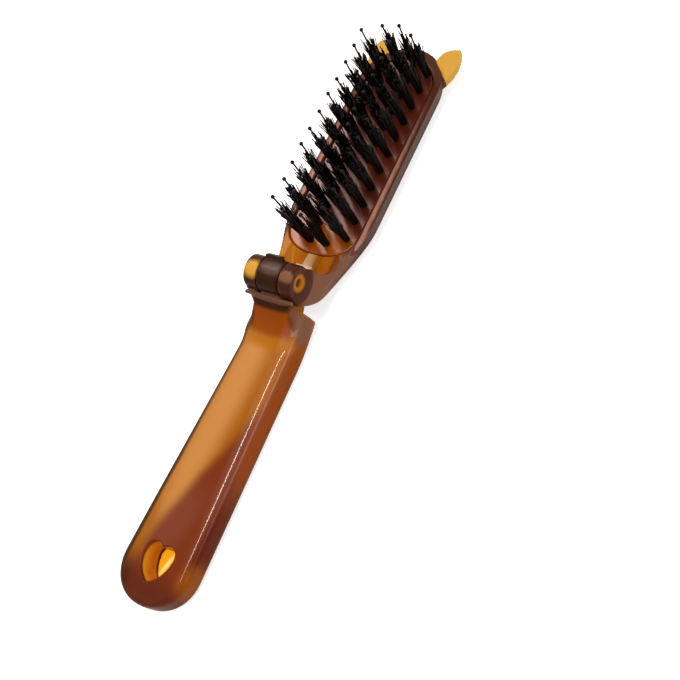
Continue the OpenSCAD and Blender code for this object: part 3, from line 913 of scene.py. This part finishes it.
def build_polish_group():
    """Moulded gloss: a roughness that wanders a little, and fine ripples as height."""
    tree, given, result = shader_group("moulded polish", [
        ("Vector", "Vector"), ("Roughness", "Float"), ("Wander", "Float", 0.08)],
        [("Roughness", "Float"), ("Height", "Float")])
    haze = tree.nodes.new("ShaderNodeTexNoise")
    haze.inputs["Scale"].default_value = 220.0
    haze.inputs["Detail"].default_value = 3.0
    tree.links.new(given["Vector"], haze.inputs["Vector"])
    wander = math_node(tree, "MULTIPLY", math_node(tree, "SUBTRACT", haze.outputs[0], 0.5), given["Wander"])
    tree.links.new(math_node(tree, "ADD", given["Roughness"], math_node(tree, "MULTIPLY", wander, 2.0)),
                   result["Roughness"])
    ripple = tree.nodes.new("ShaderNodeTexNoise")
    ripple.inputs["Scale"].default_value = 500.0
    ripple.inputs["Detail"].default_value = 2.0
    tree.links.new(given["Vector"], ripple.inputs["Vector"])
    tree.links.new(ripple.outputs[0], result["Height"])
    return tree


cloud_group = build_cloud_group()
marbling_group = build_marbling_group()
polish_group = build_polish_group()
cloud_waviness = 0.08
plastic_ior = 1.49


# %% [markdown]
# ## Tortoise plastic
# One function makes every plastic finish: marbling underneath, then placed clouds over it, some of
# pigment and some of painted sheen, glow and shade, and the shared polish. The list of clouds says where
# this piece is darker or brighter. A rubbed edge can take more coat, so that a lamp draws a clear line along
# it.

# %% Plastic
def new_material(name):
    """A material with its node tree, its shader and the Object coordinates."""
    material = bpy.data.materials.new(name)
    material.use_nodes = True
    tree = material.node_tree
    where = tree.nodes.new("ShaderNodeTexCoord").outputs["Object"]
    return material, tree, tree.nodes["Principled BSDF"], where


def place(x, y, z):
    """A spot given in millimetres from the hinge axis, as Object coordinates."""
    return tuple(in_frame((x, y, z)))


def cloud_mask(tree, where, centre, radii, softness, turn=0.0, waviness=0.3):
    """The mask of one cloud, with its centre and radii in millimetres and its turn in degrees."""
    cloud = tree.nodes.new("ShaderNodeGroup")
    cloud.node_tree = cloud_group
    tree.links.new(where, cloud.inputs["Vector"])
    cloud.inputs["Centre"].default_value = place(*centre)
    cloud.inputs["Radii"].default_value = [r * MM for r in radii]
    cloud.inputs["Softness"].default_value = softness
    cloud.inputs["Waviness"].default_value = waviness
    cloud.inputs["Turn"].default_value = math.radians(turn)
    return cloud.outputs["Mask"]


def both_sides(centre, radii, tint, strength, softness, turn=0.0):
    """The same cloud on the near and the far side."""
    x, y, z = centre
    return [((x, side * y, z), radii, tint, strength, softness, side * turn) for side in (-1, 1)]


def plastic(name, light, middle, dark, clouds, darkness, roughness=0.3, specular=0.04, coat=0.08,
            coat_roughness=0.09, sheen=(1.0, 0.6, 0.3, 1.0), polished=None):
    """A tortoise finish. Each cloud is (centre, radii, tint, strength, softness), and perhaps a turn.
    polished is (centre, radii, softness, turn, gloss) of a rubbed edge with more coat on it."""
    material, tree, shader, where = new_material(name)
    marbling = tree.nodes.new("ShaderNodeGroup")
    marbling.node_tree = marbling_group
    for label, value in (("Light", light), ("Middle", middle), ("Dark", dark), ("Darkness", darkness)):
        marbling.inputs[label].default_value = value
    tree.links.new(where, marbling.inputs["Vector"])
    colour = marbling.outputs["Color"]
    for centre, radii, tint, strength, softness, *turn in clouds:
        mask = cloud_mask(tree, where, centre, radii, softness, *turn, waviness=cloud_waviness)
        colour = mix_colour(tree, math_node(tree, "MULTIPLY", mask, strength), colour, tint)
    tree.links.new(colour, shader.inputs["Base Color"])
    polish = tree.nodes.new("ShaderNodeGroup")
    polish.node_tree = polish_group
    polish.inputs["Roughness"].default_value = roughness
    tree.links.new(where, polish.inputs["Vector"])
    tree.links.new(polish.outputs["Roughness"], shader.inputs["Roughness"])
    bump = tree.nodes.new("ShaderNodeBump")
    bump.inputs["Strength"].default_value = 0.04
    bump.inputs["Distance"].default_value = 0.0002
    tree.links.new(polish.outputs["Height"], bump.inputs["Height"])
    tree.links.new(bump.outputs["Normal"], shader.inputs["Normal"])
    shader.inputs["IOR"].default_value = plastic_ior
    shader.inputs["Specular IOR Level"].default_value = specular
    shader.inputs["Specular Tint"].default_value = sheen
    shader.inputs["Subsurface Weight"].default_value = 0.15
    shader.inputs["Subsurface Radius"].default_value = (1.0, 0.35, 0.1)
    shader.inputs["Subsurface Scale"].default_value = 3 * MM
    shader.inputs["Coat Weight"].default_value = coat
    shader.inputs["Coat Roughness"].default_value = coat_roughness
    if polished:
        *rubbed, gloss = polished
        extra = math_node(tree, "MULTIPLY", cloud_mask(tree, where, *rubbed), gloss)
        tree.links.new(math_node(tree, "ADD", extra, coat), shader.inputs["Coat Weight"])
    return material


amber = linear(186, 112, 10)
pale_amber = linear(216, 166, 68)
tan = linear(208, 144, 78)
orange = linear(172, 100, 14)
deep_orange = linear(156, 72, 0)
burnt_orange = linear(148, 66, 0)
rust = linear(120, 48, 20)
ox_red = linear(98, 28, 2)
wine = linear(98, 40, 22)
plum = linear(138, 72, 54)
umber = linear(56, 24, 6)
dark_umber = linear(46, 22, 12)
olive = linear(56, 28, 4)
brown_olive = linear(112, 70, 28)
mauve = linear(128, 84, 62)
mauve_sheen = linear(112, 90, 84)
rose = linear(186, 134, 116)
honey = linear(158, 90, 20)
heel_amber = linear(150, 78, 4)
heel_shade = linear(82, 28, 12)
painted_heart_glow = linear(255, 186, 48)
lip_brown = linear(120, 80, 66)
well_amber = linear(192, 112, 6)
cheek_amber = linear(192, 118, 14)
grey_brown = linear(78, 50, 32)
knuckle_brown = linear(72, 32, 14)
knuckle_glow_amber = linear(222, 166, 64)
knuckle_sheen = linear(150, 104, 76)
pad_amber = linear(180, 92, 14)
pad_seam = linear(60, 16, 6)

# %% Handle finish
handle_plastic = plastic("tortoise_handle", orange, linear(164, 92, 12), linear(146, 76, 10), [
    # A painted tan sheen, standing for a soft reflection, lies along the far half of the inner face
    ((-34, 2.8, -10), (44, 4.6, 6), tan, 0.95, 0.85, -1.7),
    # Rust-brown pigment starts at the near edge and widens towards the heel
    ((-70.8, -16.2, -10), (110, 20, 14), rust, 0.95, 0.13, -16.8),
    ((-67, -0.5, -10), (10, 4, 4), plum, 0.6, 0.7, -16.8),
    # The near side wall is burnt orange, then ox red, with a paler foot
    ((-30, -12.6, -13), (36, 4.8, 14), burnt_orange, 0.98, 0.2, 1.7),
    ((-71, -13.6, -13), (19, 4.8, 11), ox_red, 0.95, 0.3, 1.7),
    ((-40, -12, -19), (70, 4.4, 3.0), brown_olive, 0.6, 0.5, 1.7),
    # The heel is wine red with a clear amber spot low on its near side
    ((-94, 0, -14), (14.5, 18, 12), wine, 0.9, 0.3),
    ((-73, 7.4, -11), (8, 3.2, 4), honey, 0.6, 0.6),
    ((-85, 8.6, -12), (7, 3.6, 7), umber, 0.75, 0.6),
    ((-79, -10.6, -14.5), (4.6, 3.6, 5.4), heel_amber, 0.95, 0.6),
    ((-101, 0, -14), (7, 22, 12), heel_shade, 0.75, 0.6),
    # Painted glow: the walls inside the heart are painted bright amber for light coming through the clear
    # plastic
    ((-78, 0, -15), (7.5, 7, 4.4), painted_heart_glow, 1.0, 0.1),
    # The ramp runs from nearly black under the lip, which is painted shade, through deep orange to amber
    ((-14.2, -2.5, -9.6), (2.6, 9, 2.6), amber, 0.85, 0.7),
    ((-10.0, 0, -6.0), (4.0, 12, 5.0), deep_orange, 0.95, 0.35),
    ((-6.0, 0, -2.6), (2.2, 12, 2.8), umber, 0.98, 0.4),
    # A painted dark outline along the neck's far edge, for the plastic seen through its full depth
    ((-8.5, 7.2, -6), (5.5, 2.4, 5.5), umber, 0.85, 0.4),
    # Painted shade in the hollow of the neck's near side
    ((-8.5, -7.6, -5), (4.5, 1.8, 4), umber, 0.8, 0.4),
    ((-6.5, -10.2, -5), (4.4, 4.2, 4.8), mauve, 0.95, 0.15),
    # Mauve-brown shoulders and lip, and a dark centre knuckle with a painted sheen on its top
    *both_sides((-7.5, 11, -10.5), (6.6, 4.0, 8), mauve, 0.98, 0.25),
    ((0, 0, 0.5), (5.9, 9, 5.9), dark_umber, 0.98, 0.08),
    ((0.3, -0.5, 4.7), (1.9, 3.4, 1.3), mauve_sheen, 0.7, 0.7),
    ((-5.6, 0, -1.6), (1.3, 12, 1.1), lip_brown, 0.95, 0.15),
    # Dark outer edges, painted where the plastic is seen through its full depth: along the far side and along
    # the bottom
    ((-50, 10.5, -13), (110, 3.2, 10), olive, 0.95, 0.25, -1.6),
    ((-46, 0, -21), (90, 40, 3.2), umber, 0.8, 0.2),
], darkness=0.18, polished=((-26, -6.7, -10.2), (45, 1.9, 3.0), 0.5, 2.4, 0.6))

# %% Head finish
head_plastic = plastic("tortoise_head", linear(92, 44, 28), linear(80, 42, 28), linear(66, 34, 22), [
    # Amber well and far cheek
    ((12.5, 0, -12), (7.8, 9.2, 5.5), well_amber, 0.98, 0.2),
    ((12, 9.2, -9), (12, 3.4, 10), cheek_amber, 0.95, 0.25),
    ((12, -8.0, -10), (8, 1.6, 6), burnt_orange, 0.8, 0.4),
    # Mauve-brown near cheek and nose, grey-brown side wall
    ((3, -11.4, -8), (17, 3.6, 14), mauve, 0.98, 0.2),
    ((52, -15.4, -16), (60, 3.4, 5.6), grey_brown, 0.9, 0.25),
    # A painted rose sheen along the rim, standing for the lamp's reflection on it
    *both_sides((26, 12.0, -10.9), (32, 0.9, 1.3), rose, 0.9, 0.7),
    # The dark seam round the pad
    *both_sides((50, 11.35, -11.5), (62, 0.32, 3), ox_red, 0.9, 0.3),
    # Outer knuckles: dark, with a painted amber glow on top of the far one for light through its clear
    # plastic, a painted sheen on the near one, and clear amber round the pin
    ((0, 7, 0), (5.8, 4.2, 5.8), umber, 0.95, 0.1),
    ((0, -7, 0), (5.8, 4.2, 5.8), knuckle_brown, 0.95, 0.1),
    ((-1.3, 4.9, 4.3), (2.3, 2.5, 1.9), knuckle_glow_amber, 1.0, 0.6),
    ((-1.2, -6.2, 4.5), (1.3, 3.2, 0.9), knuckle_sheen, 0.7, 0.7),
    ((0, -7.5, 0), (2.3, 1.0, 2.3), amber, 0.9, 0.3),
    # A painted dark outline on the far cheek, for the plastic seen through its full depth
    ((12, 13.2, -9), (18, 2.6, 10), olive, 0.9, 0.2),
    # Clear amber ears
    *both_sides((85.7, 13.9, -13), (5, 20, 40), pale_amber, 1.0, 0.05, 50),
], darkness=0.4, coat=0.14, coat_roughness=0.14)

# %% Pad and stop finish
pad_plastic = plastic("tortoise_pad", linear(104, 42, 18), linear(92, 38, 20), linear(78, 30, 18), [
    ((16, 0, -11), (9, 11, 4), pad_amber, 0.85, 0.4),
    *both_sides((50, 11.0, -11.4), (70, 0.35, 3), pad_seam, 0.9, 0.3),
], darkness=0.4, roughness=0.22, specular=0.5, coat=0.0, sheen=(1.0, 0.72, 0.66, 1.0))
stop_plastic = plastic("pale_stop", linear(214, 176, 138), linear(196, 146, 100), tan, [
    ((12, -2.5, -12), (4, 1.2, 3), amber, 0.8, 0.5),
], darkness=0.2, coat=0.4)

# %% [markdown]
# ## Bristle, wire and glass
# The bristles are black nylon: very dark, with a soft sheen along each filament. The pins are the same
# nylon, thicker, with a bead at the end. The hinge pin is drawn steel wire.

# %% Nylon and metal
def nylon(name, base, roughness, speck):
    material, tree, shader, where = new_material(name)
    grain = tree.nodes.new("ShaderNodeTexNoise")
    grain.inputs["Scale"].default_value = speck
    grain.inputs["Detail"].default_value = 3.0
    tree.links.new(where, grain.inputs["Vector"])
    brown = linear(22, 12, 9)
    share = math_node(tree, "MULTIPLY", grain.outputs[0], 0.5)
    tree.links.new(mix_colour(tree, share, base, brown), shader.inputs["Base Color"])
    rough = math_node(tree, "MULTIPLY_ADD", grain.outputs[0], 0.2, roughness - 0.1)
    tree.links.new(rough, shader.inputs["Roughness"])
    shader.inputs["Specular IOR Level"].default_value = 0.12
    return material


def metal(name, colour, roughness, stretch):
    material, tree, shader, where = new_material(name)
    mapping = tree.nodes.new("ShaderNodeMapping")
    mapping.inputs["Scale"].default_value = stretch
    tree.links.new(where, mapping.inputs["Vector"])
    grain = tree.nodes.new("ShaderNodeTexNoise")
    grain.inputs["Scale"].default_value = 900.0
    tree.links.new(mapping.outputs[0], grain.inputs["Vector"])
    rough = math_node(tree, "MULTIPLY_ADD", grain.outputs[0], 0.15, roughness)
    tree.links.new(rough, shader.inputs["Roughness"])
    shade = mix_colour(tree, grain.outputs[0], colour, tuple(c * 0.85 for c in colour[:3]) + (1.0,))
    tree.links.new(shade, shader.inputs["Base Color"])
    shader.inputs["Metallic"].default_value = 1.0
    return material


bristle_nylon = nylon("black_bristle", linear(6, 5, 5), 0.42, 700.0)
pin_nylon = nylon("black_pin", linear(6, 5, 5), 0.26, 300.0)
steel = metal("drawn_steel", linear(196, 196, 200), 0.2, (1.0, 0.1, 1.0))
silver = metal("mirror_silver", linear(232, 235, 238), 0.0, (1.0, 1.0, 1.0))
tape_dark = nylon("foam_tape", linear(40, 38, 38), 0.8, 400.0)

# %% [markdown]
# ## Growing the bristles
# Four rows: the outer ones have eleven tufts, the inner ones twelve, half a pitch further back.
# All rows end up in one mesh, because they all ride on the head.

# %% Tuft rows
rows = (1, 2, 3, 4)
outer_rows = (1, 4)
middle_row = 2.5
tuft_pitch = 5.8
row_pitch = 5.2
tufts_outer = 11
first_tuft = 20.9
root_depth = 0.3
tuft_len = 14.4
tuft_lean = math.radians(5.5)
tuft_tree, tuft_names = build_tuft_tree()


def row_layout(row):
    """Count and first root of a row, in millimetres from the hinge axis."""
    outer = row in outer_rows
    count = tufts_outer if outer else tufts_outer + 1
    start = first_tuft if outer else first_tuft - tuft_pitch / 2
    return count, (start, (row - middle_row) * row_pitch, -pad_drop - root_depth)


def grow_rows(name, tree, names, seed_step, values):
    """All four rows of tufts or pins as one mesh, each row with its own seed."""
    parts = []
    for row in rows:
        count, start = row_layout(row)
        shared = {"Count": count, "Pitch": tuft_pitch * MM, "Start": tuple(in_frame(start)),
                  "Lean": math.tan(tuft_lean), "Seed": seed_step * row}
        parts.append(grow(f"{name}_{row}", tree, names, {**shared, **values}))
    return join(name, parts)


tufts = grow_rows("tufts", tuft_tree, tuft_names, 10, {
    "Filaments": 60, "Root Radius": 1.0 * MM, "Splay": 0.045, "Length": tuft_len * MM, "Shortest": 0.6,
    "Thickness": 0.14 * MM, "Material": bristle_nylon})
print("tufts:", len(tufts.data.polygons), "faces")

# %% [markdown]
# ## Ball-tipped pins
# One pin stands in the middle of every tuft and reaches past it, so the bead touches the scalp first.
# The same kind of tree places a pin made of a slim curve and a small sphere.

# %% Pin tree
def build_pin_tree():
    tree, names = new_tree("pin rows", row_inputs + [("Bead", "Float"), ("Waver", "Float")])
    given = tree.nodes.new("NodeGroupInput").outputs
    top = add(tree, "ShaderNodeCombineXYZ", Z=math_node(tree, "SUBTRACT", given["Length"], given["Bead"]))
    shaft = add(tree, "GeometryNodeCurvePrimitiveLine", {"mode": "POINTS"}, End=out(top))
    rod = tube(tree, out(shaft), given["Thickness"], 12)
    ball = add(tree, "GeometryNodeMeshUVSphere", Segments=16, Rings=10, Radius=given["Bead"])
    lifted = add(tree, "GeometryNodeTransform", Geometry=out(ball), Translation=out(top))
    pin = tree.nodes.new("GeometryNodeJoinGeometry")
    for part in (rod, out(lifted)):
        tree.links.new(part, pin.inputs[0])
    least = math_node(tree, "MULTIPLY", given["Waver"], -1.0)
    waver_x, waver_y = [random_value(tree, least, given["Waver"], math_node(tree, "ADD", given["Seed"], step))
                        for step in (3, 5)]
    aim = aimed(tree, math_node(tree, "SUBTRACT", waver_x, given["Lean"]), waver_y)
    spawn(tree, given, row_points(tree, given), out(pin), aim)
    return tree, names


pin_tree, pin_names = build_pin_tree()
ball_pins = grow_rows("ball_pins", pin_tree, pin_names, 50, {
    "Length": 19.0 * MM, "Thickness": 0.25 * MM, "Bead": 0.58 * MM, "Waver": 0.02, "Material": pin_nylon})
print("pins:", len(ball_pins.data.polygons), "faces")

# %% [markdown]
# ## Putting the pieces on their bodies
# Everything on the bristle side turns with the head, and the handle stays. Each new piece gets its
# finish, and the plain solids it stands for are hidden.

# %% Bodies
def finish_piece(piece, material, body, nodes):
    if material is not None:
        piece.data.materials.clear()
        piece.data.materials.append(material)
    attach(piece, body)
    if nodes:
        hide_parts(*nodes)


finish_piece(handle_top, handle_plastic, "handle", ["handle_shell"])
finish_piece(handle_back, handle_plastic, "handle", ["handle_cover"])
finish_piece(head_form, head_plastic, "head", ["head_shell"])
finish_piece(pad, pad_plastic, "head", ["bristle_pad"])
finish_piece(t_stop, stop_plastic, "head", ["hinge_stop"])
finish_piece(tufts, bristle_nylon, "head", [f"tuft_row_{row}" for row in (1, 2, 3, 4)])
finish_piece(ball_pins, pin_nylon, "head", [f"pin_row_{row}" for row in (1, 2, 3, 4)])

frame_finishes = {
    "mirror_glass": (silver, "mirror"), "mirror_tape": (tape_dark, "tape"), "hinge_pin": (steel, "steel")}
frame_finishes.update({f"anchor_row_{row}": (steel, "steel") for row in (1, 2, 3, 4)})
for node, (material, slot) in frame_finishes.items():
    kept = frame["nodes"][node]
    kept.data.materials.clear()
    kept.data.materials.append(material)

# %% [markdown]
# ## Floor and light
# The brush lies on a white table with a painted pool of amber light and a painted glint on it, under the
# heart-shaped hole. There are four soft lamps. A square key lamp beyond the head makes the sheen on the
# pad, and a wide weak one beyond the heel fills the shade. A long thin strip overhead draws the bright
# line along the handle's edge, and a broad lamp low on the near side lights the walls.

# %% Floor
table_white = (0.9, 0.9, 0.9, 1)
pure_white = (1, 1, 1, 1)
painted_light_amber = linear(234, 160, 24)
glint_amber = linear(255, 222, 140)
lamp_distance = 0.7


def seen_rays(tree):
    """The camera's own rays, and 1 for each ray by which the surroundings are seen."""
    path = tree.nodes.new("ShaderNodeLightPath")
    camera_ray = path.outputs["Is Camera Ray"]
    seen = math_node(tree, "MAXIMUM", camera_ray, path.outputs["Is Glossy Ray"])
    return camera_ray, math_node(tree, "MAXIMUM", seen, path.outputs["Is Transmission Ray"])


def make_floor():
    bm = bmesh.new()
    bmesh.ops.create_grid(bm, x_segments=1, y_segments=1, size=3.0)
    floor = new_object("floor", bm)
    if floor.data.polygons[0].normal.z < 0:
        floor.data.flip_normals()
    material, tree, shader, where = new_material("white_table")
    shader.inputs["Roughness"].default_value = 0.9
    shader.inputs["Specular IOR Level"].default_value = 0.0
    camera_ray, seen = seen_rays(tree)
    # Painted on, for the amber light that real clear plastic would cast inside the heart-shaped hole
    painted_light_patch = cloud_mask(tree, where, (-78, 0, outer_z), (7, 7, 5), 0.1, waviness=0.0)
    glint = cloud_mask(tree, where, (-77.7, 2.0, outer_z), (2.7, 0.5, 5), 0.9, turn=-14)
    painted_light_colour = mix_colour(tree, glint, painted_light_amber, glint_amber)
    tree.links.new(mix_colour(tree, painted_light_patch, table_white, painted_light_colour), shader.inputs["Base Color"])
    tree.links.new(mix_colour(tree, painted_light_patch, pure_white, painted_light_colour), shader.inputs["Emission Color"])
    glow = math_node(tree, "MULTIPLY_ADD", camera_ray, 0.5, math_node(tree, "MULTIPLY", seen, 0.15))
    tree.links.new(glow, shader.inputs["Emission Strength"])
    floor.data.materials.append(material)


def make_world():
    world = bpy.data.worlds.new("studio")
    bpy.context.scene.world = world
    world.use_nodes = True
    tree = world.node_tree
    background = tree.nodes["Background"]
    _, seen = seen_rays(tree)
    background.inputs["Color"].default_value = pure_white
    tree.links.new(math_node(tree, "MULTIPLY_ADD", seen, 0.7, 0.3), background.inputs["Strength"])


def make_lamp(name, direction, size_x, size_y, power, colour=(1, 1, 1)):
    data = bpy.data.lights.new(name, "AREA")
    data.color = colour
    data.shape = "RECTANGLE"
    data.size, data.size_y = size_x, size_y
    data.energy = power
    lamp = bpy.data.objects.new(name, data)
    bpy.context.scene.collection.objects.link(lamp)
    away = Vector(direction).normalized()
    lamp.location = hinge + away * lamp_distance
    lamp.rotation_mode = "QUATERNION"
    lamp.rotation_quaternion = away.to_track_quat("Z", "Y")


make_floor()
make_world()
make_lamp("key", (0.42, 0.46, 0.78), 0.24, 0.24, 1.5)
make_lamp("fill", (-0.62, 0.25, 0.74), 0.45, 0.45, 0.4)
make_lamp("ridge", (0.03, -0.06, 0.98), 0.4, 0.032, 2.1, (1.0, 0.84, 0.68))
make_lamp("side", (0.1, -0.9, 0.35), 0.5, 0.3, 1.4)

# %% Output
bpy.context.scene.view_settings.view_transform = "Standard"
bpy.context.view_layer.update()
